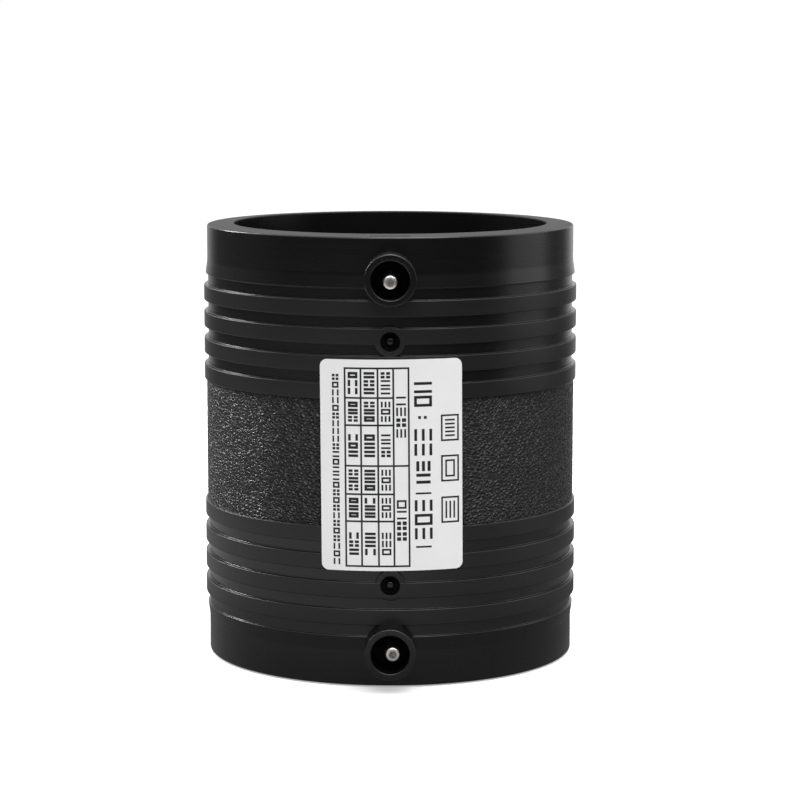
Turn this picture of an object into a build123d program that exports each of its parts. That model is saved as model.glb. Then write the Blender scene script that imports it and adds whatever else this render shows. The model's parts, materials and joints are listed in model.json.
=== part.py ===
from build123d import *
import os
from math import cos, pi, radians, sin, sqrt

# Electrofusion coupler that welds two 90 mm polyethylene pipes end to end.
# Millimetres. The axis is Z, the lower mouth lies on Z = 0 and the terminals face -Y.

# Pipe and socket
PIPE_DIAMETER = 90.0
SOCKET_CLEARANCE = 0.6  # radial gap between the pipe and the bore
COUPLER_LENGTH = 126.0

# Outside of the moulded body, measured from the mouth of each socket
WALL = 8.15  # at the textured middle zone
BAND_INSET = 0.35  # end band below the middle zone
BAND_WIDTH = 14.5
FLARE_WIDTH = 4.0  # the band's inner edge flares out over this width
FLARE_HEIGHT = 0.55
RIB_COUNT = 4  # ribs of each socket
RIB_WIDTH = 4.45
RIB_GAP = 3.22  # groove between two ribs
RIB_HEIGHT = 1.2  # from the groove floor
GROOVE_DEPTH = 0.55  # below the middle zone

# Stop ridge half way up the bore, where the pipes' ends come to rest
RIDGE_HEIGHT = 3.0
RIDGE_WIDTH = 3.6

# Terminal shrouds
TERMINAL_INSET = 11.4  # from the mouth to the terminal's centre
RECESS_DIAMETER = 10.7
SHROUD_WALL = 1.8
SHROUD_HEIGHT = 9.4  # rim above the middle zone's surface
SHROUD_CHAMFER = 0.4

# Terminal pins
PIN_DIAMETER = 4.0
PIN_SETBACK = 1.8  # tip below the shroud's rim
PIN_CHAMFER = 0.5
PIN_ROOT_DIAMETER = 3.0
PIN_ROOT_LENGTH = 2.0  # from the recess floor to the end of the wire

# Fusion indicators: a pin moulded in one with the wall, inside a ring-shaped recess
INDICATOR_INSET = 29.0
INDICATOR_RECESS_DIAMETER = 5.4
INDICATOR_BOSS_WALL = 1.55
INDICATOR_PIN_DIAMETER = 1.9
INDICATOR_PIN_SETBACK = 0.8
INDICATOR_WEB = 1.1  # plastic left between the recess and the winding

# Heating wire, wound in one piece round both fusion zones and buried under the bore
WIRE_DIAMETER = 0.9
WIRE_COVER = 0.5  # plastic between the bore and the winding
WIRE_STUB = 0.4  # from the winding's outside to the pins' roots
ZONE_INSET = 18.5  # from the mouth to the first turn
ZONE_TURNS = 4
TURN_PITCH = 6.5
TURN_FLATS = 12  # straight spans that make up one turn

# Label
LABEL_HEIGHT = 59.5
LABEL_ARC_WIDTH = 40.8
LABEL_THICKNESS = 0.15
LABEL_CORNER = 2.0

# Worked out from the sizes above
bore_radius = PIPE_DIAMETER / 2 + SOCKET_CLEARANCE
middle_radius = bore_radius + WALL
band_radius = middle_radius - BAND_INSET
flare_radius = band_radius + FLARE_HEIGHT
groove_radius = middle_radius - GROOVE_DEPTH
rib_radius = groove_radius + RIB_HEIGHT
mid_height = COUPLER_LENGTH / 2

turn_radius = (bore_radius + WIRE_COVER + WIRE_DIAMETER / 2) / cos(pi / TURN_FLATS)
winding_outside = turn_radius + WIRE_DIAMETER / 2
zone_length = ZONE_TURNS * TURN_PITCH
wire_side = WIRE_DIAMETER * sqrt(pi) / 2  # square with the round wire's cross-section

shroud_radius = RECESS_DIAMETER / 2 + SHROUD_WALL
rim_radius = middle_radius + SHROUD_HEIGHT
pin_root = winding_outside + WIRE_STUB
recess_floor = pin_root + PIN_ROOT_LENGTH
pin_tip = rim_radius - PIN_SETBACK

boss_radius = INDICATOR_RECESS_DIAMETER / 2 + INDICATOR_BOSS_WALL
indicator_floor = winding_outside + INDICATOR_WEB

os.makedirs("parts", exist_ok=True)


def both_ends(inset):
    """Heights of a feature that sits at the same inset from the lower and the upper mouth."""
    return {"lower": inset, "upper": COUPLER_LENGTH - inset}


def facing_out(radius, height):
    """Plane at a distance in front of the axis, looking out through the front of the coupler."""
    return Plane(origin=(0, -radius, height), x_dir=(1, 0, 0), z_dir=(0, -1, 0))


def socket_outline():
    """Radius and height of each outer corner of one socket, from its mouth to the middle zone."""
    corners = [
        (band_radius, 0),
        (band_radius, BAND_WIDTH - FLARE_WIDTH),
        (flare_radius, BAND_WIDTH),
        (groove_radius, BAND_WIDTH),
    ]
    for rib in range(RIB_COUNT):
        start = BAND_WIDTH + RIB_GAP + rib * (RIB_WIDTH + RIB_GAP)
        last = rib == RIB_COUNT - 1
        corners += [
            (groove_radius, start),
            (rib_radius, start),
            (rib_radius, start + RIB_WIDTH),
            (middle_radius if last else groove_radius, start + RIB_WIDTH),
        ]
    return corners


def winding_points(start):
    """Corners of one fusion zone's winding, which starts and ends at the front."""
    points = []
    for flat in range(ZONE_TURNS * TURN_FLATS + 1):
        angle = radians(-90 + 360 * flat / TURN_FLATS)
        height = start + TURN_PITCH * flat / TURN_FLATS
        points.append((turn_radius * cos(angle), turn_radius * sin(angle), height))
    return points


terminal_heights = both_ends(TERMINAL_INSET)
indicator_heights = both_ends(INDICATOR_INSET)


# Heating wire: pin, lead, lower winding, crossover, upper winding, lead, pin
wire_points = [
    (0, -pin_root, terminal_heights["lower"]),
    (0, -turn_radius, terminal_heights["lower"]),
    *winding_points(ZONE_INSET),
    *winding_points(COUPLER_LENGTH - ZONE_INSET - zone_length),
    (0, -turn_radius, terminal_heights["upper"]),
    (0, -pin_root, terminal_heights["upper"]),
]
with BuildPart() as heating_wire:
    with BuildLine() as wire_path:
        Polyline(*wire_points)
    with BuildSketch(facing_out(pin_root, terminal_heights["lower"])):
        Rectangle(wire_side, wire_side)
    sweep(path=wire_path.wires()[0], transition=Transition.RIGHT)
heating_wire.part.label = "heating_wire"
export_step(heating_wire.part, "parts/heating_wire.step")


# Terminal pins: a root moulded into the wall, which meets the wire, and a pin that stands on the recess floor
terminal_pins = []
for end, height in terminal_heights.items():
    with BuildPart() as terminal_pin:
        with BuildSketch(facing_out(pin_root, height)):
            Circle(PIN_ROOT_DIAMETER / 2)
        extrude(amount=PIN_ROOT_LENGTH)
        with BuildSketch(facing_out(recess_floor, height)):
            Circle(PIN_DIAMETER / 2)
        extrude(amount=pin_tip - recess_floor)
        tip = terminal_pin.faces().sort_by(Axis.Y)[0]
        chamfer(tip.edges(), PIN_CHAMFER)
    terminal_pin.part.label = f"terminal_pin_{end}"
    export_step(terminal_pin.part, f"parts/terminal_pin_{end}.step")
    terminal_pins.append(terminal_pin.part)


# Indicator bosses, cut off flush with the tops of the ribs
with BuildPart() as indicator_bosses:
    with BuildSketch(*[facing_out(bore_radius + WALL / 2, height) for height in indicator_heights.values()]):
        Circle(boss_radius)
    extrude(amount=WALL)
    with BuildSketch(Plane.XY):
        Circle(rib_radius)
    extrude(amount=COUPLER_LENGTH, mode=Mode.INTERSECT)


# Moulded body
lower_outline = socket_outline()
upper_outline = [(radius, COUPLER_LENGTH - height) for radius, height in reversed(lower_outline)]
with BuildPart() as coupler_body:
    with BuildSketch(Plane.XZ):
        with BuildLine():
            Polyline(
                *lower_outline,
                *upper_outline,
                (bore_radius, COUPLER_LENGTH),
                (bore_radius, mid_height + RIDGE_WIDTH / 2),
                (bore_radius - RIDGE_HEIGHT, mid_height),
                (bore_radius, mid_height - RIDGE_WIDTH / 2),
                (bore_radius, 0),
                close=True,
            )
        make_face()
    revolve(axis=Axis.Z)

    # Terminal shrouds
    with BuildSketch(*[facing_out(rim_radius, height) for height in terminal_heights.values()]):
        Circle(shroud_radius)
    extrude(amount=-(SHROUD_HEIGHT + WALL / 2))
    rims = coupler_body.faces().sort_by(Axis.Y)[:2]
    chamfer(rims.edges(), SHROUD_CHAMFER)
    with BuildSketch(*[facing_out(rim_radius, height) for height in terminal_heights.values()]):
        Circle(RECESS_DIAMETER / 2)
    extrude(amount=recess_floor - rim_radius, mode=Mode.SUBTRACT)

    # Fusion indicators
    add(indicator_bosses.part)
    with BuildSketch(*[facing_out(rib_radius, height) for height in indicator_heights.values()]):
        Circle(INDICATOR_RECESS_DIAMETER / 2)
        Circle(INDICATOR_PIN_DIAMETER / 2, mode=Mode.SUBTRACT)
    extrude(amount=indicator_floor - rib_radius, mode=Mode.SUBTRACT)
    with BuildSketch(*[facing_out(rib_radius, height) for height in indicator_heights.values()]):
        Circle(INDICATOR_RECESS_DIAMETER / 2)
    extrude(amount=-INDICATOR_PIN_SETBACK, mode=Mode.SUBTRACT)

    # The plastic closes round the pins' roots and the wire
    for terminal_pin_part in terminal_pins:
        add(terminal_pin_part, mode=Mode.SUBTRACT)
    add(heating_wire.part, mode=Mode.SUBTRACT)
coupler_body.part.label = "coupler_body"
export_step(coupler_body.part, "parts/coupler_body.step")


# Label, taut from rib to rib across the front
label_radius = rib_radius + LABEL_THICKNESS
label_chord = 2 * label_radius * sin(LABEL_ARC_WIDTH / label_radius / 2)
with BuildPart() as label:
    with BuildSketch(Plane.XY):
        Circle(label_radius)
        Circle(rib_radius, mode=Mode.SUBTRACT)
    extrude(amount=COUPLER_LENGTH)
    with BuildSketch(facing_out(0, mid_height)):
        RectangleRounded(label_chord, LABEL_HEIGHT, LABEL_CORNER)
    extrude(amount=middle_radius + WALL, mode=Mode.INTERSECT)
label.part.label = "label"
export_step(label.part, "parts/label.step")
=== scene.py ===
import json
import random
from functools import reduce
from math import asin, ceil, cos, pi, radians, sin, sqrt, tan

import bpy
import numpy as np
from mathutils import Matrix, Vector


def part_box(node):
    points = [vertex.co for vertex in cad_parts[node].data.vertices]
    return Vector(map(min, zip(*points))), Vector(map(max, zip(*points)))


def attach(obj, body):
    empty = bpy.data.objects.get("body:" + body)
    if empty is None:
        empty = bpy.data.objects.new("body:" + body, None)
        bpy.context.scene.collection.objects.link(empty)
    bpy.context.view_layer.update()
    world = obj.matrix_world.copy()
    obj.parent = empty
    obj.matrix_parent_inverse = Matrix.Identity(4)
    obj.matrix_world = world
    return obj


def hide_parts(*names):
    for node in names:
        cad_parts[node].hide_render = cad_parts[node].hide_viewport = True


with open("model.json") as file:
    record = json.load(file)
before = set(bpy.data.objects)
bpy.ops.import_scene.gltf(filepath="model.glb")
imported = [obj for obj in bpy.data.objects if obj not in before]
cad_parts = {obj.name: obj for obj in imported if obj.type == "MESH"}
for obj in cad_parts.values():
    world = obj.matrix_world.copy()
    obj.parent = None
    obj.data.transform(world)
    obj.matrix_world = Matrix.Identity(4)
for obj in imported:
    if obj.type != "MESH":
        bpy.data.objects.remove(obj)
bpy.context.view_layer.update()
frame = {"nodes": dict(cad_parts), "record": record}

# Looks of the electrofusion coupler: moulded body with its grain, terminal pins, label and print.
# Metres, in the frame's own axes: the coupler stands on Z = 0 and its terminals face -Y.
MM = 0.001

# Places and overall sizes, read from the frame
mounts = {mount["name"]: mount for mount in frame["record"]["mounts"]}
bore_radius = mounts["lower_socket"]["dims"]["r_mm"] * MM
coupler_length = mounts["upper_socket"]["pos_m"][2]
mid_height = coupler_length / 2
body_low, body_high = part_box("coupler_body")
rib_radius = body_high.x
wall_middle = (bore_radius + rib_radius) / 2
shroud_rim = -body_low.y  # distance of the shrouds' rims in front of the axis
terminal_heights = [mounts[name]["pos_m"][2] for name in ("lower_terminal", "upper_terminal")]
pin_low, pin_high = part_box("terminal_pin_lower")
pin_tip, pin_root = -pin_low.y, -pin_high.y
pin_radius = mounts["lower_terminal"]["dims"]["r_mm"] * MM
label_low, label_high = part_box("label")
label_radius = -label_low.y
label_middle = (label_low.z + label_high.z) / 2
label_half_arc = label_radius * asin(label_high.x / label_radius)
label_half_height = (label_high.z - label_low.z) / 2

# Outside of each socket, measured from its mouth
BAND_WIDTH = 14.5 * MM
FLARE_WIDTH = 4.0 * MM
FLARE_HEIGHT = 0.55 * MM
RIB_COUNT = 4
RIB_WIDTH = 4.45 * MM
RIB_GAP = 3.22 * MM
RIB_HEIGHT = 1.2 * MM
MIDDLE_STEP = 0.65 * MM  # ribs stand proud of the grained middle zone
BAND_STEP = 1.0 * MM  # ribs stand proud of the end bands
END_FALL = 0.4 * MM  # the end faces fall away towards their outer edge

# Stop ridge in the bore
RIDGE_HEIGHT = 3.0 * MM
RIDGE_WIDTH = 3.6 * MM

# Edge roundings that the mould leaves
MOUTH_ROUNDING = 0.5 * MM
RIB_ROUNDING = 0.28 * MM
CORNER_ROUNDING = 0.18 * MM
FLARE_ROUNDING = 9.0 * MM

# Leather grain of the middle zone
GRAIN_HALF_WIDTH = mid_height - BAND_WIDTH - RIB_COUNT * (RIB_GAP + RIB_WIDTH)
GRAIN_PEBBLE = 1.15 * MM
GRAIN_RELIEF = 0.2 * MM
GRAIN_LEVEL = 0.7  # share of the relief that lies under the zone's own radius
GRAIN_PITCH = 0.47 * MM  # height of one row of the mesh
GRAIN_SEED = 11
GRAIN_MARGIN = 2  # rows of pebbles to spare below and above the zone
GRAIN_JITTER = (0.05, 0.95)  # places of the pebbles in their cells
GRAIN_DOMES = (0.55, 1.0)  # heights of the pebbles
GRAIN_CREASE = 0.45  # width of a crease, in pebbles
GRAIN_WARP = 0.35  # sideways sway of the pebbles, in pebbles
WARP_TURNS = (9, 31)  # sways to one turn round the coupler, along and up
WARP_SLANTS = (1.3, 0.9)  # slant of those sways

# Mesh of revolution
COLUMNS = 192
FINE_SPLIT = 4  # columns of the grained zone to each column elsewhere
ARC_STEP = radians(30)  # turn of one segment of a rounding
SIDE_SHARE = 0.49  # of a side, that one corner's rounding may take
BODY_CREASE = radians(42)  # edges sharper than this stay crisp

# Terminal shrouds and fusion indicators
RECESS_RADIUS = 5.35 * MM
SHROUD_WALL = 1.8 * MM
SHROUD_ROUNDING = 0.3 * MM
RECESS_FLOOR = 51.0 * MM  # distance in front of the axis
INDICATOR_INSET = 29.0 * MM  # from each mouth
INDICATOR_RECESS_RADIUS = 2.7 * MM
INDICATOR_WALL = 1.55 * MM
INDICATOR_PIN_RADIUS = 0.95 * MM
INDICATOR_SETBACK = 0.8 * MM  # top of its pin, under the tops of the ribs
INDICATOR_FLOOR = 49.8 * MM  # distance in front of the axis
BOSS_STEP = 0.04 * MM  # bosses end just under the tops of the ribs
FITTING_COLUMNS = 96

# Pins
PIN_SHOULDER = 0.12 * MM  # behind the tip
PIN_SHOULDER_ROUNDING = 0.55 * MM
PIN_CROWN = 0.02 * MM  # edge of the crown, behind the tip
PIN_CROWN_SHARE = 0.6  # of the radius
PIN_CROWN_ROUNDING = 1.0 * MM
PIN_CREASE = radians(60)
PIN_LEANS = ((0.7 * MM, -0.3 * MM), (0.0, -0.7 * MM))  # of the lower and upper tip, across and up

# Label
LABEL_CORNER = 2.0 * MM
LABEL_CORNER_STEPS = 8
LABEL_THICKNESS = 0.15 * MM
LABEL_LEAN = radians(0.43)  # as it was stuck on
LABEL_STEP = 0.8 * MM
LABEL_TRIM_LEFT = 0.8 * MM  # the film ends this far inside its solid
LABEL_TRIM_TOP = 0.6 * MM
LABEL_CREASE = radians(40)

# Print. Places are in millimetres about the label's middle, arcs to the right and heights up.
PRINT_SEED = 5
INK_LIFT = 0.02 * MM
BAR_PITCH = 1.9  # of a mark's bars, in strokes
BLOCK_SHARE = 0.42  # of a mark's width and height
MARK_SHARE = 0.8  # of a mark's pitch along its column
TABLE_LINE = 0.5
TABLE_COLUMNS = (-12.45, -8.0, -3.3, 1.0, 5.2)
TABLE_ROWS = (26.75, 18.55, 10.95, -0.35, -8.25, -15.85, -28.45)
WHOLE_ROWS = (0, 3, 6)  # lines that cross the last column too
CELL_STROKES = (0.72, 0.72, 0.52)
CELL_MARKS = 3
CELL_MARGIN = 0.85
CELL_END_MARGIN = 0.8
CELL_HALF_HEIGHT = 3.4
HEADING_MIDDLES = (13.2, -15.6)
HEADING_HALF_HEIGHT = 6
HEADING_MARKS = 4
HEADING_MARGIN = 0.75
HEADING_STROKE = 0.52
MARK_COLUMNS = (  # bottom, top, left, right, number of marks, stroke
    (-28.3, 25.3, -16.1, -14.2, 25, 0.5),
    (15.6, 23.2, 6.7, 11.7, 2, 0.78),
    (2.0, 10.2, 6.7, 11.7, 2, 0.78),
    (-5.8, 1.2, 7.2, 11.2, 2, 0.85),
    (-21.4, -9.6, 6.7, 11.7, 3, 0.78),
)
DOT_MIDDLES = (8.2, 9.8)
DOT_HALF_WIDTH = 0.4
DOT_HEIGHTS = (12.6, 13.4)
THIN_BARS = ((7.0, -8.4, 11.4, -7.9), (7.0, -23.4, 11.4, -22.9))  # left, bottom, right, top
LARGE_MARKS = ((9.9, "level"), (-1.4, "square"), (-13.0, "upright"))  # height of the middle, kind
LARGE_FRAME = (14.2, 19.4, 3.7)  # left, right, half height
LARGE_INSIDE = (15.4, 18.2, 2.4)
LARGE_STROKE = 0.48

# Textures: stretch along each axis, cells to a millimetre, detail
STREAKS = ((0.03, 0.03, 1.6), 1.0, 3.0)
PLASTIC_CLOUDS = ((0.09, 0.09, 0.09), 1.0, 2.0)
FINE_GRAIN = ((1, 1, 1), 3.2, 3.0)
SCUFFS = ((1, 1, 1), 1.6, 4.0)
TURNING_MARKS = ((0.4, 6.0, 0.4), 1.0, 2.0)
DRAWING_MARKS = ((0.6, 0.6, 5.0), 1.0, 2.0)
FILM_CLOUDS = ((0.12, 0.12, 0.12), 1.0, 3.0)
FILM_FIBRES = ((1, 1, 1), 2.5, 2.0)
INK_DENSITY = ((1, 1, 1), 1.8, 3.0)
NOISE_ROUGHNESS = 0.55
NOISE_SPAN = (0.3, 0.7)  # most of a noise's values lie between these
PEBBLE_STRETCH = (1, 1, 1.15)
CREASE_SPAN = (0, 0.3)  # distance from a pebble's edge, in pebbles

# Bumps: depth and strength
STREAK_BUMP = (0.01 * MM, 0.2)
FINE_BUMP = (0.02 * MM, 0.4)
PEBBLE_BUMP = (0.36 * MM, 1.0)
SCUFF_BUMP = (0.12 * MM, 0.6)
TURNING_BUMP = (0.02 * MM, 0.4)
FILM_BUMP = (0.1 * MM, 0.25)

# Edges of the plastic's zones, each as the span over which one gives way to the next
RIB_TOPS_FROM = (rib_radius - 0.5 * MM, rib_radius - 0.2 * MM)
RIB_TOPS_TO = (rib_radius + 0.1 * MM, rib_radius + 0.3 * MM)
OUTSIDE_FROM = (rib_radius - 2 * MM, rib_radius - 1.5 * MM)
GRAIN_TO = (GRAIN_HALF_WIDTH - 0.3 * MM, GRAIN_HALF_WIDTH)
END_FACES_FROM = (mid_height - END_FALL - 0.1 * MM, mid_height - END_FALL)
RECESS_FLOORS_FROM = (INDICATOR_FLOOR - 0.2 * MM, INDICATOR_FLOOR)
RECESS_FLOORS_TO = (RECESS_FLOOR + 0.2 * MM, RECESS_FLOOR + 0.8 * MM)
RECESS_SIDES_TO = (RECESS_RADIUS + 0.1 * MM, RECESS_RADIUS + 0.2 * MM)

# Plastic: base colours, and what each zone adds to the roughness of the moulded skin
DARK_PLASTIC = (0.0022, 0.0022, 0.0025, 1)
PLASTIC = (0.0034, 0.0034, 0.0038, 1)
# a little lighter on the tops of the ribs
RIB_TOP_PLASTIC = (0.0045, 0.0045, 0.005, 1)
GRAINED_PLASTIC = (0.006, 0.006, 0.0065, 1)
PLASTIC_IOR = 1.5
SKIN_ROUGHNESS = (0.26, 0.28)
RIBS_ROUGHER = 0.13
ENDS_ROUGHER = 0.4
GRAIN_ROUGHER = 0.13
RECESSES_ROUGHER = 0.6

# Metals, film and ink: the two base colours of each, and its least and most roughness
PIN_COLOURS = ((0.9, 0.88, 0.85, 1), (0.16, 0.12, 0.09, 1))  # tinned, and the darker, browner middle of the tip
PIN_ROUGHNESS = (0.3, 0.5)
WIRE_COLOURS = ((0.66, 0.4, 0.26, 1), (0.76, 0.49, 0.33, 1))
WIRE_ROUGHNESS = (0.25, 0.4)
FILM_COLOURS = ((0.77, 0.77, 0.77, 1), (0.83, 0.83, 0.83, 1))
FILM_ROUGHNESS = (0.38, 0.5)
INK_COLOURS = ((0.003, 0.003, 0.0032, 1), (0.01, 0.01, 0.0105, 1))
INK_ROUGHNESS = (0.35, 0.55)

# Darker, browner middle of a pin's tip
DARK_MIDDLE_EDGE = (0.45 * pin_radius, 0.65 * pin_radius)
DARK_MIDDLE_SWAY = (-0.3 * MM, 0.3 * MM)  # by which its edge wanders
DARK_MIDDLE_SCUFFS = (0.35, 0.6)
DARK_MIDDLE_DEPTH = (0.6, 1.0)

# Studio, as brightness where 1 is white. A rise is the span of a direction's X, Y or Z over which a light
# comes up, and a fall the span over which it goes down.
FRONT_LIGHT = 0.025
CEILING_LIGHT = 1.0
CEILING_RISE_Z = (0.15, 0.6)
BEHIND_LIGHT = (0.7, 1.0)  # at its left and right
BEHIND_RISE_X = (-0.3, 0.1)
BEHIND_RISE_Y = (0.74, 0.97)
RIGHT_LIGHT = 0.12
RIGHT_RISE_X = (0.3, 0.6)
RIGHT_RISE_Y = (-0.5, -0.3)
LEFT_LIGHT = 0.1
LEFT_FALL_X = (-0.9, -0.3)
LEFT_RISE_Y = (-0.5, 0.0)
LEFT_FRONT_SHARE = 0.3
AMBIENT_LIGHT = (0.25, 1.0)
AMBIENT_RISE_Z = (-0.2, 0.9)

# Floor, and the pool of light that reflections see on it, with distances in metres
FLOOR_REACH = 3.0
FLOOR_WHITE = 0.8
FLOOR_BOUNCE = 0.35  # the floor's own colour for diffuse light
FLOOR_GLOW = 0.35
POOL_CENTRE = (-0.14, -0.16, 0.0)
POOL_LIGHT = 1.0
POOL_FALL = (0.02, 0.62)
CONTACT_SHADE = 0.3  # of the pool, close to the coupler
CONTACT_RISE = (0.08, 0.2)

# Lamps: name, place, width and height in metres, power in watts
LAMPS = (
    ("left_strip", (-0.78, 0.5, 0.58), (0.09, 0.45), 6),
    ("right_box", (0.9, 0.05, 0.3), (0.6, 0.8), 1.3),
    ("top_box", (0.1, -0.7, 0.95), (1.1, 0.8), 8.5),
    ("over_box", (0.1, 0.1, 1.1), (0.5, 0.3), 4.5),
)

# Camera, at the photograph's viewing angle
CAMERA_PLACE = (0, -0.79585, 0.18322)
CAMERA_TILT = radians(82.15)
CAMERA_LENS = 122.76
CAMERA_SENSOR = 36
CAMERA_SHIFT = 0.01225
CAMERA_CLIP = (0.01, 20)


# ---------------------------------------------------------------- meshes

def mesh_piece(name, vertices, faces):
    """An object made of the given vertices and faces, linked to the scene."""
    mesh = bpy.data.meshes.new(name)
    mesh.from_pydata([tuple(v) for v in vertices], [], faces)
    mesh.validate()
    piece = bpy.data.objects.new(name, mesh)
    bpy.context.scene.collection.objects.link(piece)
    return piece


def smooth(piece, sharp_angle):
    """Smooth shading, with edges sharper than the angle kept crisp and flats kept flat."""
    piece.data.shade_smooth()
    piece.data.set_sharp_from_angle(angle=sharp_angle)
    weighted = piece.modifiers.new("weighted", "WEIGHTED_NORMAL")
    weighted.keep_sharp = True


def combine(piece, other, operation):
    """Applies a boolean of another object to the piece, and removes the other."""
    modifier = piece.modifiers.new("combine", "BOOLEAN")
    modifier.object = other
    modifier.operation = operation
    modifier.solver = "MANIFOLD"
    modifier.material_mode = "INDEX"
    bpy.context.view_layer.objects.active = piece
    bpy.ops.object.modifier_apply(modifier=modifier.name)
    bpy.data.objects.remove(other)


def corner_arc(corner, before, after, rounding):
    """Points of the arc that rounds one corner of an outline."""
    back, ahead = before - corner, after - corner
    back_length, ahead_length = np.hypot(*back), np.hypot(*ahead)
    back, ahead = back / back_length, ahead / ahead_length
    turn = pi - np.arccos(np.clip(back @ ahead, -1, 1))
    reach = min(rounding * tan(turn / 2), SIDE_SHARE * back_length, SIDE_SHARE * ahead_length)
    radius = reach / tan(turn / 2)
    bisector = (back + ahead) / np.hypot(*(back + ahead))
    centre = corner + bisector * radius / cos(turn / 2)
    start = corner + back * reach - centre
    side = np.sign(back[1] * ahead[0] - back[0] * ahead[1])
    steps = max(2, ceil(turn / ARC_STEP))
    points = []
    for step in range(steps + 1):
        a = side * turn * step / steps
        points.append(tuple(centre + [start[0] * cos(a) - start[1] * sin(a),
                                      start[0] * sin(a) + start[1] * cos(a)]))
    return points


def rounded(corners, closed=False):
    """Points of an outline given as (radius, height, rounding) corners, with arcs at the corners."""
    places = [np.array(corner[:2]) for corner in corners]
    last = len(corners) - 1
    points = []
    for i, (x, y, rounding) in enumerate(corners):
        if rounding == 0 or (not closed and i in (0, last)):
            points.append((x, y))
        else:
            points += corner_arc(places[i], places[i - 1], places[(i + 1) % len(corners)], rounding)
    return points


def lathe_facing_out(name, outline, height):
    """A closed turned solid about a level axis that points out of the front of the coupler.
    The outline is (distance from that axis, distance in front of the coupler's own axis)."""
    vertices, rings = [], []
    for offset, front in outline:
        if offset == 0:
            rings.append([len(vertices)])
            vertices.append((0, -front, height))
            continue
        rings.append(list(range(len(vertices), len(vertices) + FITTING_COLUMNS)))
        for column in range(FITTING_COLUMNS):
            angle = 2 * pi * column / FITTING_COLUMNS
            vertices.append((offset * cos(angle), -front, height + offset * sin(angle)))
    faces = []
    for ring, after in zip(rings, rings[1:]):
        for i in range(FITTING_COLUMNS):
            j = (i + 1) % FITTING_COLUMNS
            if len(ring) == 1:
                faces.append((ring[0], after[j], after[i]))
            elif len(after) == 1:
                faces.append((ring[i], ring[j], after[0]))
            else:
                faces.append((ring[i], ring[j], after[j], after[i]))
    return mesh_piece(name, vertices, faces)


# ---------------------------------------------------------------- moulded body

def nearest_pebbles(u, v, jitter, dome):
    """Distance to the nearest and second nearest pebble, and the height of the nearest one's dome."""
    cells_up, cells_round = dome.shape
    nearest = np.full(u.shape, np.inf)
    second = np.full(u.shape, np.inf)
    top = np.zeros(u.shape)
    neighbours = range(-2, 3)
    for up in neighbours:
        for along in neighbours:
            row = np.clip(np.floor(v).astype(int) + up, 0, cells_up - 1)
            column = np.floor(u).astype(int) + along
            point = jitter[row, column % cells_round]
            distance = np.hypot(column + point[..., 0] - u, row + point[..., 1] - v)
            closer = distance < nearest
            second = np.where(closer, nearest, np.minimum(second, distance))
            top = np.where(closer, dome[row, column % cells_round], top)
            nearest = np.where(closer, distance, nearest)
    return nearest, second, top


def grain(columns, heights):
    """Relief of the leather grain at each height and column, from 0 in its creases to 1 on its pebbles."""
    rng = np.random.default_rng(GRAIN_SEED)
    cells_round = round(2 * pi * (rib_radius - MIDDLE_STEP) / GRAIN_PEBBLE)
    cells_up = ceil((heights[-1] - heights[0]) / GRAIN_PEBBLE) + 2 * GRAIN_MARGIN
    jitter = rng.uniform(*GRAIN_JITTER, (cells_up, cells_round, 2))
    dome = rng.uniform(*GRAIN_DOMES, (cells_up, cells_round))
    u = np.arange(columns)[None, :] * cells_round / columns + 0 * heights[:, None]
    v = (heights[:, None] - heights[0]) / GRAIN_PEBBLE + GRAIN_MARGIN + 0 * u
    # Warped coordinates make the pebbles irregular and slightly slanted
    turn = 2 * pi * u / cells_round
    along = GRAIN_WARP * np.sin(WARP_SLANTS[0] * v + WARP_TURNS[0] * turn)
    up = GRAIN_WARP * np.sin(WARP_TURNS[1] * turn + WARP_SLANTS[1] * v)
    nearest, second, top = nearest_pebbles(u + along, v + up, jitter, dome)
    edge = np.clip((second - nearest) / GRAIN_CREASE, 0, 1)
    return top * edge * (2 - edge)


def socket_corners():
    """Corners of one socket's outside, from its mouth to the middle zone: radius, height and rounding."""
    band_radius = rib_radius - BAND_STEP
    groove_radius = rib_radius - RIB_HEIGHT
    corners = [
        (band_radius, END_FALL, MOUTH_ROUNDING),
        (band_radius, BAND_WIDTH - FLARE_WIDTH, FLARE_ROUNDING),
        (band_radius + FLARE_HEIGHT, BAND_WIDTH, RIB_ROUNDING),
        (groove_radius, BAND_WIDTH, CORNER_ROUNDING),
    ]
    for rib in range(RIB_COUNT):
        start = BAND_WIDTH + RIB_GAP + rib * (RIB_WIDTH + RIB_GAP)
        last = rib == RIB_COUNT - 1
        corners += [
            (groove_radius, start, CORNER_ROUNDING),
            (rib_radius, start, RIB_ROUNDING),
            (rib_radius, start + RIB_WIDTH, RIB_ROUNDING),
            (rib_radius - MIDDLE_STEP if last else groove_radius, start + RIB_WIDTH, CORNER_ROUNDING),
        ]
    return corners


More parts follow.
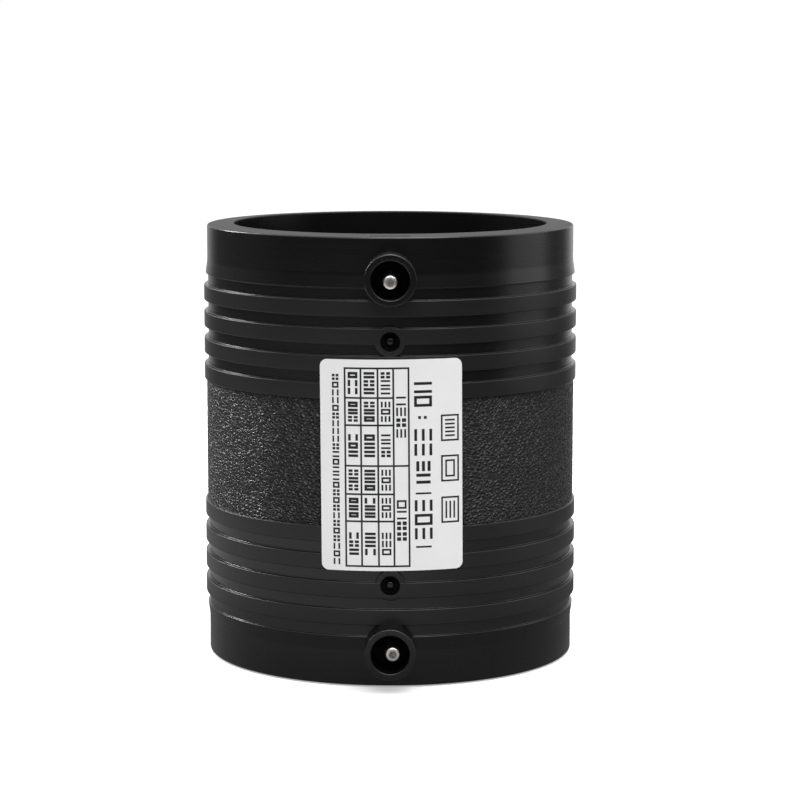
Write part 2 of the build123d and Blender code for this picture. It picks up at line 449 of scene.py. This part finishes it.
def body_rings():
    """Rings of the body of revolution, in order round its section: radius at each column, height."""
    lower = socket_corners()
    upper = [(radius, coupler_length - height, rounding) for radius, height, rounding in reversed(lower)]
    inside = [
        (bore_radius, coupler_length, RIB_ROUNDING),
        (bore_radius, mid_height + RIDGE_WIDTH / 2, CORNER_ROUNDING),
        (bore_radius - RIDGE_HEIGHT, mid_height, CORNER_ROUNDING),
        (bore_radius, mid_height - RIDGE_WIDTH / 2, CORNER_ROUNDING),
        (bore_radius, 0, RIB_ROUNDING),
    ]
    outline = rounded(lower + upper + inside, closed=True)
    plain = [(np.full(COLUMNS, radius), height) for radius, height in outline]
    split = next(i for i, (_, height) in enumerate(outline) if height > mid_height)
    zone_end = lower[-1][1] + CORNER_ROUNDING
    rows = round((coupler_length - 2 * zone_end) / GRAIN_PITCH)
    heights = np.linspace(zone_end, coupler_length - zone_end, rows + 1)[1:-1]
    relief = grain(COLUMNS * FINE_SPLIT, heights) - GRAIN_LEVEL
    from_ends = np.minimum(heights - zone_end, coupler_length - zone_end - heights)
    fade = np.minimum(1, from_ends / GRAIN_PEBBLE)
    radii = rib_radius - MIDDLE_STEP + GRAIN_RELIEF * relief * fade[:, None]
    return plain[:split] + list(zip(radii, heights)) + plain[split:]


def body_of_revolution():
    """The sockets and the grained middle zone as one closed mesh."""
    vertices, starts, counts = [], [], []
    rings = body_rings()
    for radii, height in rings:
        angles = np.arange(len(radii)) * 2 * pi / len(radii)
        starts.append(len(vertices))
        counts.append(len(radii))
        vertices += list(zip(radii * np.cos(angles), radii * np.sin(angles), [height] * len(radii)))
    faces = []
    for i in range(len(rings)):
        j = (i + 1) % len(rings)
        coarse = min(counts[i], counts[j])
        low_split, high_split = counts[i] // coarse, counts[j] // coarse
        for column in range(coarse):
            low = [starts[i] + (column * low_split + k) % counts[i] for k in range(low_split + 1)]
            high = [starts[j] + (column * high_split + k) % counts[j] for k in range(high_split + 1)]
            faces.append((*low, *reversed(high)))
    return mesh_piece("moulded_body", vertices, faces)


def lip_flare(lip, rim, rounding, steps):
    """Quarter arc by which a cutter widens towards the rim, to round the recess's inner edge."""
    angles = [pi / 2 * step / steps for step in range(steps + 1)]
    return [(lip - rounding * cos(a), rim - rounding * (1 - sin(a))) for a in angles]


def shroud(height):
    """Solid boss of one terminal, with a rounded rim."""
    outer = RECESS_RADIUS + SHROUD_WALL
    outline = rounded([(0, wall_middle, 0), (outer, wall_middle, 0),
                       (outer, shroud_rim, SHROUD_ROUNDING), (0, shroud_rim, 0)])
    return lathe_facing_out("shroud", outline, height)


def terminal_recess(height):
    """Cutter of one terminal's recess, which rounds the rim's inner edge."""
    above = shroud_rim + SHROUD_WALL
    lip = RECESS_RADIUS + SHROUD_ROUNDING
    wall = rounded([(0, RECESS_FLOOR, 0), (RECESS_RADIUS, RECESS_FLOOR, CORNER_ROUNDING),
                    (RECESS_RADIUS, shroud_rim, 0)])[:-1]
    flare = lip_flare(lip, shroud_rim, SHROUD_ROUNDING, 3)
    return lathe_facing_out("recess", wall + flare + [(lip, above), (0, above)], height)


def indicator_boss(height):
    """Solid boss of one fusion indicator, cut off just under the tops of the ribs."""
    outer = INDICATOR_RECESS_RADIUS + INDICATOR_WALL
    top = rib_radius - BOSS_STEP
    outline = rounded([(0, wall_middle, 0), (outer, wall_middle, 0),
                       (outer, top, RIB_ROUNDING), (0, top, 0)])
    return follow_ribs(lathe_facing_out("boss", outline, height))


def indicator_recess(height):
    """Cutter of one indicator's ring-shaped recess, which leaves the pin standing in it."""
    above = rib_radius + SHROUD_WALL
    pin_top = rib_radius - INDICATOR_SETBACK
    lip = INDICATOR_RECESS_RADIUS + CORNER_ROUNDING
    wall = rounded([(0, pin_top, 0), (INDICATOR_PIN_RADIUS, pin_top, RIB_ROUNDING),
                    (INDICATOR_PIN_RADIUS, INDICATOR_FLOOR, 0),
                    (INDICATOR_RECESS_RADIUS, INDICATOR_FLOOR, CORNER_ROUNDING),
                    (INDICATOR_RECESS_RADIUS, rib_radius, 0)])[:-1]
    flare = lip_flare(lip, rib_radius, CORNER_ROUNDING, 2)
    return follow_ribs(lathe_facing_out("indicator", wall + flare + [(lip, above), (0, above)], height))


def follow_ribs(piece):
    """Sinks each vertex by the ribs' own curvature, so that a flat top follows them round."""
    for vertex in piece.data.vertices:
        vertex.co.y += rib_radius - sqrt(rib_radius ** 2 - vertex.co.x ** 2)
    return piece


def moulded_body():
    """The whole moulding: sockets, grain, terminal shrouds and fusion indicators in one piece."""
    body = body_of_revolution()
    for height in terminal_heights:
        combine(body, shroud(height), "UNION")
        combine(body, terminal_recess(height), "DIFFERENCE")
    for height in (INDICATOR_INSET, coupler_length - INDICATOR_INSET):
        combine(body, indicator_boss(height), "UNION")
        combine(body, indicator_recess(height), "DIFFERENCE")
    smooth(body, BODY_CREASE)
    return body


# ---------------------------------------------------------------- pins

def terminal_pin(name, height, lean):
    """Turned pin with a rounded shoulder and a crowned tip, whose tip stands off its axis by the lean."""
    outline = rounded([(0, pin_root, 0), (pin_radius, pin_root, 0),
                       (pin_radius, pin_tip - PIN_SHOULDER, PIN_SHOULDER_ROUNDING),
                       (pin_radius * PIN_CROWN_SHARE, pin_tip - PIN_CROWN, PIN_CROWN_ROUNDING),
                       (0, pin_tip, 0)])
    pin = lathe_facing_out(name, outline, height)
    for vertex in pin.data.vertices:
        share = (-vertex.co.y - pin_root) / (pin_tip - pin_root)
        vertex.co.x += share * lean[0]
        vertex.co.z += share * lean[1]
    smooth(pin, PIN_CREASE)
    return pin


# ---------------------------------------------------------------- label

def on_label(along, up, lift):
    """Point of the label's surface, from the label's own arc and height about its middle."""
    arc = along * cos(LABEL_LEAN) - up * sin(LABEL_LEAN)
    height = along * sin(LABEL_LEAN) + up * cos(LABEL_LEAN)
    angle = arc / label_radius
    radius = label_radius + lift
    return (radius * sin(angle), -radius * cos(angle), label_middle + height)


def label_film():
    """Thin closed film with rounded corners, made of two layers of stations along it and rows up it."""
    flat = label_half_arc - LABEL_TRIM_LEFT / 2 - LABEL_CORNER
    half_height = label_half_height - LABEL_TRIM_TOP / 2
    corner = [flat + LABEL_CORNER * sin(a) for a in np.linspace(0, pi / 2, LABEL_CORNER_STEPS + 1)][1:]
    inner = list(np.linspace(-flat, flat, round(2 * flat / LABEL_STEP) + 1))
    stations = [-x for x in reversed(corner)] + inner + corner
    rows = round(2 * half_height / LABEL_STEP)
    last = len(stations) - 1
    vertices = []
    for lift in (0, -LABEL_THICKNESS):
        for along in stations:
            into = max(0, abs(along) - flat)
            half = half_height - LABEL_CORNER + sqrt(max(0, LABEL_CORNER ** 2 - into ** 2))
            for row in range(rows + 1):
                up = half * (2 * row / rows - 1) - LABEL_TRIM_TOP / 2
                vertices.append(on_label(along + LABEL_TRIM_LEFT / 2, up, lift))
    front, back = np.arange(len(vertices)).reshape(2, last + 1, rows + 1).tolist()
    faces = []
    for i in range(last):
        for row in range(rows):
            faces.append((front[i][row], front[i + 1][row], front[i + 1][row + 1], front[i][row + 1]))
            faces.append((back[i][row], back[i][row + 1], back[i + 1][row + 1], back[i + 1][row]))
    rim = [(i, 0) for i in range(last)] + [(last, row) for row in range(rows)]
    rim += [(i, rows) for i in range(last, 0, -1)] + [(0, row) for row in range(rows, 0, -1)]
    for (i, row), (j, next_row) in zip(rim, rim[1:] + rim[:1]):
        faces.append((front[i][row], back[i][row], back[j][next_row], front[j][next_row]))
    film = mesh_piece("label_film", vertices, faces)
    smooth(film, LABEL_CREASE)
    return film


class Print:
    """Flat black shapes printed on the label, collected into one mesh."""

    def __init__(self):
        self.vertices = []
        self.faces = []
        self.rng = random.Random(PRINT_SEED)

    def bar(self, left, bottom, right, top):
        """A filled rectangle between two arcs and two heights."""
        spans = max(1, ceil((right - left) / (LABEL_STEP / MM)))
        start = len(self.vertices)
        for i in range(spans + 1):
            along = (left + (right - left) * i / spans) * MM
            for up in (bottom * MM, top * MM):
                self.vertices.append(on_label(along, up, INK_LIFT))
                self.vertices.append(on_label(along, up, -INK_LIFT))
        last = start + 4 * spans
        for a in range(start, last, 4):
            b = a + 4
            self.faces += [(a, b, b + 2, a + 2), (a + 1, a + 3, b + 3, b + 1),
                           (a, a + 1, b + 1, b), (a + 2, b + 2, b + 3, a + 3)]
        self.faces += [(start, start + 2, start + 3, start + 1), (last, last + 1, last + 3, last + 2)]

    def frame(self, left, bottom, right, top, stroke):
        """A hollow rectangle."""
        self.bar(left, bottom, right, bottom + stroke)
        self.bar(left, top - stroke, right, top)
        self.bar(left, bottom + stroke, left + stroke, top - stroke)
        self.bar(right - stroke, bottom + stroke, right, top - stroke)

    def mark(self, kind, left, bottom, right, top, stroke):
        """One generic mark of print: a hollow square, level bars, upright bars or four blocks."""
        width, height = right - left, top - bottom
        if kind == "square":
            self.frame(left, bottom, right, top, stroke)
        elif kind == "level":
            bars = max(2, int((height + stroke) / (BAR_PITCH * stroke)))
            for i in range(bars):
                low = bottom + i * (height - stroke) / (bars - 1)
                self.bar(left, low, right, low + stroke)
        elif kind == "upright":
            bars = max(2, int((width + stroke) / (BAR_PITCH * stroke)))
            for i in range(bars):
                low = left + i * (width - stroke) / (bars - 1)
                self.bar(low, bottom, low + stroke, top)
        else:
            for x in (left, right - width * BLOCK_SHARE):
                for y in (bottom, top - height * BLOCK_SHARE):
                    self.bar(x, y, x + width * BLOCK_SHARE, y + height * BLOCK_SHARE)

    def column(self, low, high, left, right, count, stroke):
        """Marks of random kinds, spread evenly up a column of print."""
        pitch = (high - low) / count
        for i in range(count):
            kind = self.rng.choice(("square", "level", "upright", "blocks"))
            bottom = low + (i + (1 - MARK_SHARE) / 2) * pitch
            self.mark(kind, left, bottom, right, bottom + pitch * MARK_SHARE, stroke)

    def table(self):
        """The table's lines and the marks in its cells and headings."""
        half = TABLE_LINE / 2
        for x in TABLE_COLUMNS:
            self.bar(x - half, TABLE_ROWS[-1] - half, x + half, TABLE_ROWS[0] + half)
        for i, y in enumerate(TABLE_ROWS):
            right = TABLE_COLUMNS[-1] if i in WHOLE_ROWS else TABLE_COLUMNS[-2]
            self.bar(TABLE_COLUMNS[0] + half, y - half, right - half, y + half)
        for left, right, stroke in zip(TABLE_COLUMNS, TABLE_COLUMNS[1:], CELL_STROKES):
            for top, bottom in zip(TABLE_ROWS, TABLE_ROWS[1:]):
                middle = (top + bottom) / 2
                reach = min((top - bottom) / 2 - CELL_END_MARGIN, CELL_HALF_HEIGHT)
                self.column(middle - reach, middle + reach, left + CELL_MARGIN, right - CELL_MARGIN,
                            CELL_MARKS, stroke)
        left, right = TABLE_COLUMNS[-2] + HEADING_MARGIN, TABLE_COLUMNS[-1] - HEADING_MARGIN
        for middle in HEADING_MIDDLES:
            self.column(middle - HEADING_HALF_HEIGHT, middle + HEADING_HALF_HEIGHT, left, right,
                        HEADING_MARKS, HEADING_STROKE)


def label_print():
    """Table, columns of marks, two dots, two thin bars and three framed marks, all generic."""
    ink = Print()
    ink.table()
    for column in MARK_COLUMNS:
        ink.column(*column)
    for middle in DOT_MIDDLES:
        ink.bar(middle - DOT_HALF_WIDTH, DOT_HEIGHTS[0], middle + DOT_HALF_WIDTH, DOT_HEIGHTS[1])
    for bar in THIN_BARS:
        ink.bar(*bar)
    for middle, kind in LARGE_MARKS:
        left, right, reach = LARGE_FRAME
        ink.frame(left, middle - reach, right, middle + reach, LARGE_STROKE)
        left, right, reach = LARGE_INSIDE
        ink.mark(kind, left, middle - reach, right, middle + reach, LARGE_STROKE)
    return mesh_piece("label_print", ink.vertices, ink.faces)


# ---------------------------------------------------------------- materials

class Nodes:
    """Short names for building the nodes of one material or world."""

    def __init__(self, owner):
        owner.use_nodes = True
        self.owner = owner
        self.nodes = owner.node_tree.nodes
        self.links = owner.node_tree.links

    def add(self, kind, inputs=None, **settings):
        """A new node with these settings, whose inputs are values or other nodes' outputs."""
        node = self.nodes.new(kind)
        for key, value in settings.items():
            setattr(node, key, value)
        for key, value in (inputs or {}).items():
            if isinstance(value, bpy.types.NodeSocket):
                self.links.new(value, node.inputs[key])
            else:
                node.inputs[key].default_value = value
        return node

    def drive(self, node, inputs):
        """Links outputs to the named inputs of a node that is there already."""
        for key, value in inputs.items():
            self.links.new(value, self.nodes[node].inputs[key])

    def place(self):
        """The point in the object's own coordinates, in metres."""
        return self.add("ShaderNodeTexCoord").outputs["Object"]

    def split(self, vector):
        """X, Y and Z of a vector."""
        return self.add("ShaderNodeSeparateXYZ", {0: vector}).outputs

    def stretched(self, scale):
        """The point in millimetres, multiplied along each axis."""
        inputs = {"Vector": self.place(), "Scale": [s / MM for s in scale]}
        return self.add("ShaderNodeMapping", inputs).outputs["Vector"]

    def noise(self, stretch, scale, detail):
        """Noise with that many cells to a millimetre, stretched along each axis."""
        inputs = {"Vector": self.stretched(stretch), "Scale": scale, "Detail": detail,
                  "Roughness": NOISE_ROUGHNESS}
        return self.add("ShaderNodeTexNoise", inputs).outputs["Fac"]

    def ramp(self, value, source, target, interpolation="LINEAR"):
        """Carries the value from the source span to the target span, and holds it at their ends."""
        inputs = {"Value": value, "From Min": source[0], "From Max": source[1],
                  "To Min": target[0], "To Max": target[1]}
        return self.add("ShaderNodeMapRange", inputs, interpolation_type=interpolation).outputs["Result"]

    def fade(self, value, source, target):
        """A ramp that eases in and out."""
        return self.ramp(value, source, target, "SMOOTHSTEP")

    def bump(self, height, relief, normal=None):
        """Bump with that depth and strength where the height is 1, on top of any other normal given."""
        inputs = {"Height": height, "Distance": relief[0], "Strength": relief[1]}
        if normal is not None:
            inputs["Normal"] = normal
        return self.add("ShaderNodeBump", inputs).outputs["Normal"]

    def mix(self, share, first, second):
        """The first colour, and the second where the share is 1."""
        inputs = {"Fac": share, "Color1": first, "Color2": second}
        return self.add("ShaderNodeMixRGB", inputs).outputs["Color"]

    def calculate(self, operation, *values, clamp=False):
        """Maths on one or two values."""
        inputs = dict(enumerate(values))
        return self.add("ShaderNodeMath", inputs, operation=operation, use_clamp=clamp).outputs[0]

    def vector(self, operation, *values):
        """Maths on one or two vectors that gives a vector."""
        inputs = dict(enumerate(values))
        return self.add("ShaderNodeVectorMath", inputs, operation=operation).outputs["Vector"]

    def length(self, vector):
        """Length of a vector."""
        return self.add("ShaderNodeVectorMath", {0: vector}, operation="LENGTH").outputs["Value"]

    def total(self, *values):
        """All the values added up."""
        return reduce(lambda a, b: self.calculate("ADD", a, b), values)

    def product(self, *values):
        """All the values multiplied."""
        return reduce(lambda a, b: self.calculate("MULTIPLY", a, b), values)

    def distance(self, a, b):
        """Distance from an axis, from the two coordinates across it."""
        return self.calculate("SQRT", self.total(self.product(a, a), self.product(b, b)))


def new_material(name):
    """Nodes of a new material."""
    return Nodes(bpy.data.materials.new(name))


def recess_floors(m, x, y):
    """1 on the dull floors of the terminals' and indicators' recesses, and 0 elsewhere."""
    front = m.product(y, -1)
    deep = m.product(m.ramp(front, RECESS_FLOORS_FROM, (0, 1)), m.ramp(front, RECESS_FLOORS_TO, (1, 0)))
    return m.product(deep, m.ramp(m.calculate("ABSOLUTE", x), RECESS_SIDES_TO, (1, 0)))


def plastic_material():
    """Black moulded polyethylene: glossy bands and grooves, duller ribs, end faces and grained middle."""
    m = new_material("black_polyethylene")
    m.nodes["Principled BSDF"].inputs["IOR"].default_value = PLASTIC_IOR
    streaks, clouds, fine = m.noise(*STREAKS), m.noise(*PLASTIC_CLOUDS), m.noise(*FINE_GRAIN)
    x, y, z = m.split(m.place())
    radius = m.distance(x, y)
    from_middle = m.calculate("ABSOLUTE", m.calculate("SUBTRACT", z, mid_height))
    # Zones: 1 inside them and 0 elsewhere
    on_ribs = m.product(m.ramp(radius, RIB_TOPS_FROM, (0, 1)), m.ramp(radius, RIB_TOPS_TO, (1, 0)))
    end_faces = m.ramp(from_middle, END_FACES_FROM, (0, 1))
    grained = m.product(m.ramp(radius, OUTSIDE_FROM, (0, 1)), m.ramp(from_middle, GRAIN_TO, (1, 0)))
    recesses = recess_floors(m, x, y)
    tone = m.mix(clouds, DARK_PLASTIC, PLASTIC)
    # the tops of the ribs take a slightly lighter tone
    tone = m.mix(on_ribs, tone, RIB_TOP_PLASTIC)
    tone = m.mix(grained, tone, GRAINED_PLASTIC)
    rough = m.total(m.ramp(streaks, NOISE_SPAN, SKIN_ROUGHNESS),
                    m.product(on_ribs, RIBS_ROUGHER), m.product(end_faces, ENDS_ROUGHER),
                    m.product(grained, GRAIN_ROUGHER), m.product(recesses, RECESSES_ROUGHER))
    cells = {"Vector": m.stretched(PEBBLE_STRETCH), "Scale": MM / GRAIN_PEBBLE}
    creases = m.add("ShaderNodeTexVoronoi", cells, feature="DISTANCE_TO_EDGE").outputs["Distance"]
    pebbles = m.product(m.ramp(creases, CREASE_SPAN, (0, 1)), grained)
    skin = m.bump(fine, FINE_BUMP, m.bump(streaks, STREAK_BUMP))
    normal = m.bump(pebbles, PEBBLE_BUMP, skin)
    m.drive("Principled BSDF", {"Base Color": tone, "Roughness": rough, "Normal": normal})
    return m.owner


def pin_material(name, height, lean):
    """Tin plated brass: a bright turned rim round a darker, browner and rougher middle, with scuffed and
    turned bumps.
    """
    m = new_material(name)
    m.nodes["Principled BSDF"].inputs["Metallic"].default_value = 1.0
    scuffs, turned = m.noise(*SCUFFS), m.noise(*TURNING_MARKS)
    x, _, z = m.split(m.place())
    radius = m.distance(m.calculate("SUBTRACT", x, lean[0]), m.calculate("SUBTRACT", z, height + lean[1]))
    middle = m.ramp(m.total(radius, m.ramp(scuffs, (0, 1), DARK_MIDDLE_SWAY)), DARK_MIDDLE_EDGE, (1, 0))
    # the middle of the tip is darker and browner, and the scuffs noise breaks up its edge
    dark_middle = m.product(middle, m.ramp(scuffs, DARK_MIDDLE_SCUFFS, DARK_MIDDLE_DEPTH))
    m.drive("Principled BSDF", {"Base Color": m.mix(dark_middle, *PIN_COLOURS),
                                "Roughness": m.ramp(dark_middle, (0, 1), PIN_ROUGHNESS),
                                "Normal": m.bump(turned, TURNING_BUMP, m.bump(scuffs, SCUFF_BUMP))})
    return m.owner


def wire_material():
    """Bare drawn resistance wire."""
    m = new_material("resistance_wire")
    m.nodes["Principled BSDF"].inputs["Metallic"].default_value = 1.0
    drawn = m.noise(*DRAWING_MARKS)
    m.drive("Principled BSDF", {"Base Color": m.mix(drawn, *WIRE_COLOURS),
                                "Roughness": m.ramp(drawn, NOISE_SPAN, WIRE_ROUGHNESS)})
    return m.owner


def film_material():
    """White adhesive film, slightly glossy, with a faint unevenness."""
    m = new_material("white_film")
    clouds, fibres = m.noise(*FILM_CLOUDS), m.noise(*FILM_FIBRES)
    m.drive("Principled BSDF", {"Base Color": m.mix(clouds, *FILM_COLOURS),
                                "Roughness": m.ramp(fibres, NOISE_SPAN, FILM_ROUGHNESS),
                                "Normal": m.bump(clouds, FILM_BUMP)})
    return m.owner


def ink_material():
    """Black print, a little uneven in density."""
    m = new_material("black_ink")
    density = m.noise(*INK_DENSITY)
    m.drive("Principled BSDF", {"Base Color": m.mix(density, *INK_COLOURS),
                                "Roughness": m.ramp(density, NOISE_SPAN, INK_ROUGHNESS)})
    return m.owner


# ---------------------------------------------------------------- stage

def background_rays(n):
    """Two values: 1 for the camera's rays, and 1 for those, glossy rays and transmission rays."""
    path = n.add("ShaderNodeLightPath").outputs
    camera_ray = path["Is Camera Ray"]
    reflected = n.calculate("ADD", path["Is Glossy Ray"], path["Is Transmission Ray"], clamp=True)
    return camera_ray, n.calculate("ADD", camera_ray, reflected, clamp=True)


def studio_light(n, direction):
    """What reflections see in a direction: bright above and behind the coupler, weak at its sides."""
    x, y, z = n.split(direction)
    ceiling = n.fade(z, CEILING_RISE_Z, (0, CEILING_LIGHT))
    behind = n.product(n.fade(y, BEHIND_RISE_Y, (0, 1)),
                       n.fade(x, BEHIND_RISE_X, BEHIND_LIGHT))
    right = n.product(n.fade(x, RIGHT_RISE_X, (0, RIGHT_LIGHT)),
                      n.fade(y, RIGHT_RISE_Y, (0, 1)))
    left = n.product(n.fade(x, LEFT_FALL_X, (LEFT_LIGHT, 0)),
                     n.fade(y, LEFT_RISE_Y, (LEFT_FRONT_SHARE, 1)))
    return n.total(behind, right, left, ceiling)


def studio_world():
    """White to the camera. Reflections see the studio, and diffuse light comes mostly from above."""
    world = bpy.data.worlds.new("studio")
    n = Nodes(world)
    camera_ray, seen = background_rays(n)
    direction = n.add("ShaderNodeTexCoord").outputs["Generated"]
    _, _, up = n.split(direction)
    ambient = n.product(n.fade(up, AMBIENT_RISE_Z, AMBIENT_LIGHT), n.calculate("SUBTRACT", 1.0, seen))
    studio = n.product(n.total(studio_light(n, direction), FRONT_LIGHT), seen)
    n.nodes["Background"].inputs["Color"].default_value = (1, 1, 1, 1)
    n.drive("Background", {"Strength": n.calculate("MAXIMUM", n.total(ambient, studio), camera_ray)})
    bpy.context.scene.world = world


def floor():
    """Pale floor that keeps the coupler's shadow. Reflections see a pool of light on it."""
    corners = [(-FLOOR_REACH, -FLOOR_REACH, 0), (FLOOR_REACH, -FLOOR_REACH, 0),
               (FLOOR_REACH, FLOOR_REACH, 0), (-FLOOR_REACH, FLOOR_REACH, 0)]
    plane = mesh_piece("floor", corners, [(0, 1, 2, 3)])
    n = new_material("white_floor")
    n.nodes.remove(n.nodes["Principled BSDF"])
    camera_ray, seen = background_rays(n)
    place = n.place()
    from_pool = n.length(n.vector("SUBTRACT", place, POOL_CENTRE))
    pool = n.product(n.fade(from_pool, POOL_FALL, (POOL_LIGHT, FRONT_LIGHT)),
                     n.fade(n.length(place), CONTACT_RISE, (CONTACT_SHADE, 1)))
    studio = n.calculate("MAXIMUM", pool, studio_light(n, n.vector("NORMALIZE", place)))
    reflected = n.add("ShaderNodeEmission", {"Strength": studio}).outputs[0]
    shade = n.fade(camera_ray, (0, 1), (FLOOR_BOUNCE, FLOOR_WHITE))
    albedo = n.add("ShaderNodeCombineColor", {i: shade for i in range(3)}).outputs[0]
    diffuse = n.add("ShaderNodeBsdfDiffuse", {"Color": albedo}).outputs[0]
    glow = n.add("ShaderNodeEmission", {"Strength": n.product(camera_ray, FLOOR_GLOW)}).outputs[0]
    lit = n.add("ShaderNodeAddShader", {0: diffuse, 1: glow}).outputs[0]
    mirror_ray = n.calculate("SUBTRACT", seen, camera_ray)
    shown = n.add("ShaderNodeMixShader", {"Fac": mirror_ray, 1: lit, 2: reflected}).outputs[0]
    n.drive("Material Output", {"Surface": shown})
    plane.data.materials.append(n.owner)


def soft_box(name, place, size, power):
    """Area lamp that points at the middle of the coupler."""
    light = bpy.data.lights.new(name, "AREA")
    light.shape = "RECTANGLE"
    light.size, light.size_y = size
    light.energy = power
    lamp = bpy.data.objects.new(name, light)
    lamp.location = place
    towards = Vector((0, 0, mid_height)) - Vector(place)
    lamp.rotation_euler = towards.to_track_quat("-Z", "Y").to_euler()
    lamp.visible_camera = False
    bpy.context.scene.collection.objects.link(lamp)


def camera():
    """The scene's camera, turned about X alone."""
    data = bpy.data.cameras.new("camera")
    data.lens = CAMERA_LENS
    data.sensor_width = CAMERA_SENSOR
    data.shift_x = CAMERA_SHIFT
    data.clip_start, data.clip_end = CAMERA_CLIP
    view = bpy.data.objects.new("camera", data)
    view.location = CAMERA_PLACE
    view.rotation_euler = (CAMERA_TILT, 0, 0)
    bpy.context.scene.collection.objects.link(view)
    bpy.context.scene.camera = view


# ---------------------------------------------------------------- build

def dress(piece, material):
    """Gives a piece its material, and makes it ride on the coupler."""
    piece.data.materials.clear()
    piece.data.materials.append(material)
    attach(piece, "root")


body = moulded_body()
dress(body, plastic_material())
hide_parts("coupler_body")

for end, height, lean in zip(("lower", "upper"), terminal_heights, PIN_LEANS):
    pin = terminal_pin(f"pin_{end}", height, lean)
    dress(pin, pin_material(f"tinned_brass_{end}", height, lean))
    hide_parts(f"terminal_pin_{end}")

film = label_film()
dress(film, film_material())
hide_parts("label")
dress(label_print(), ink_material())

wire = frame["nodes"]["heating_wire"]
wire.data.materials.clear()
wire.data.materials.append(wire_material())

studio_world()
floor()
for lamp in LAMPS:
    soft_box(*lamp)
camera()

bpy.context.scene.view_settings.view_transform = "Standard"
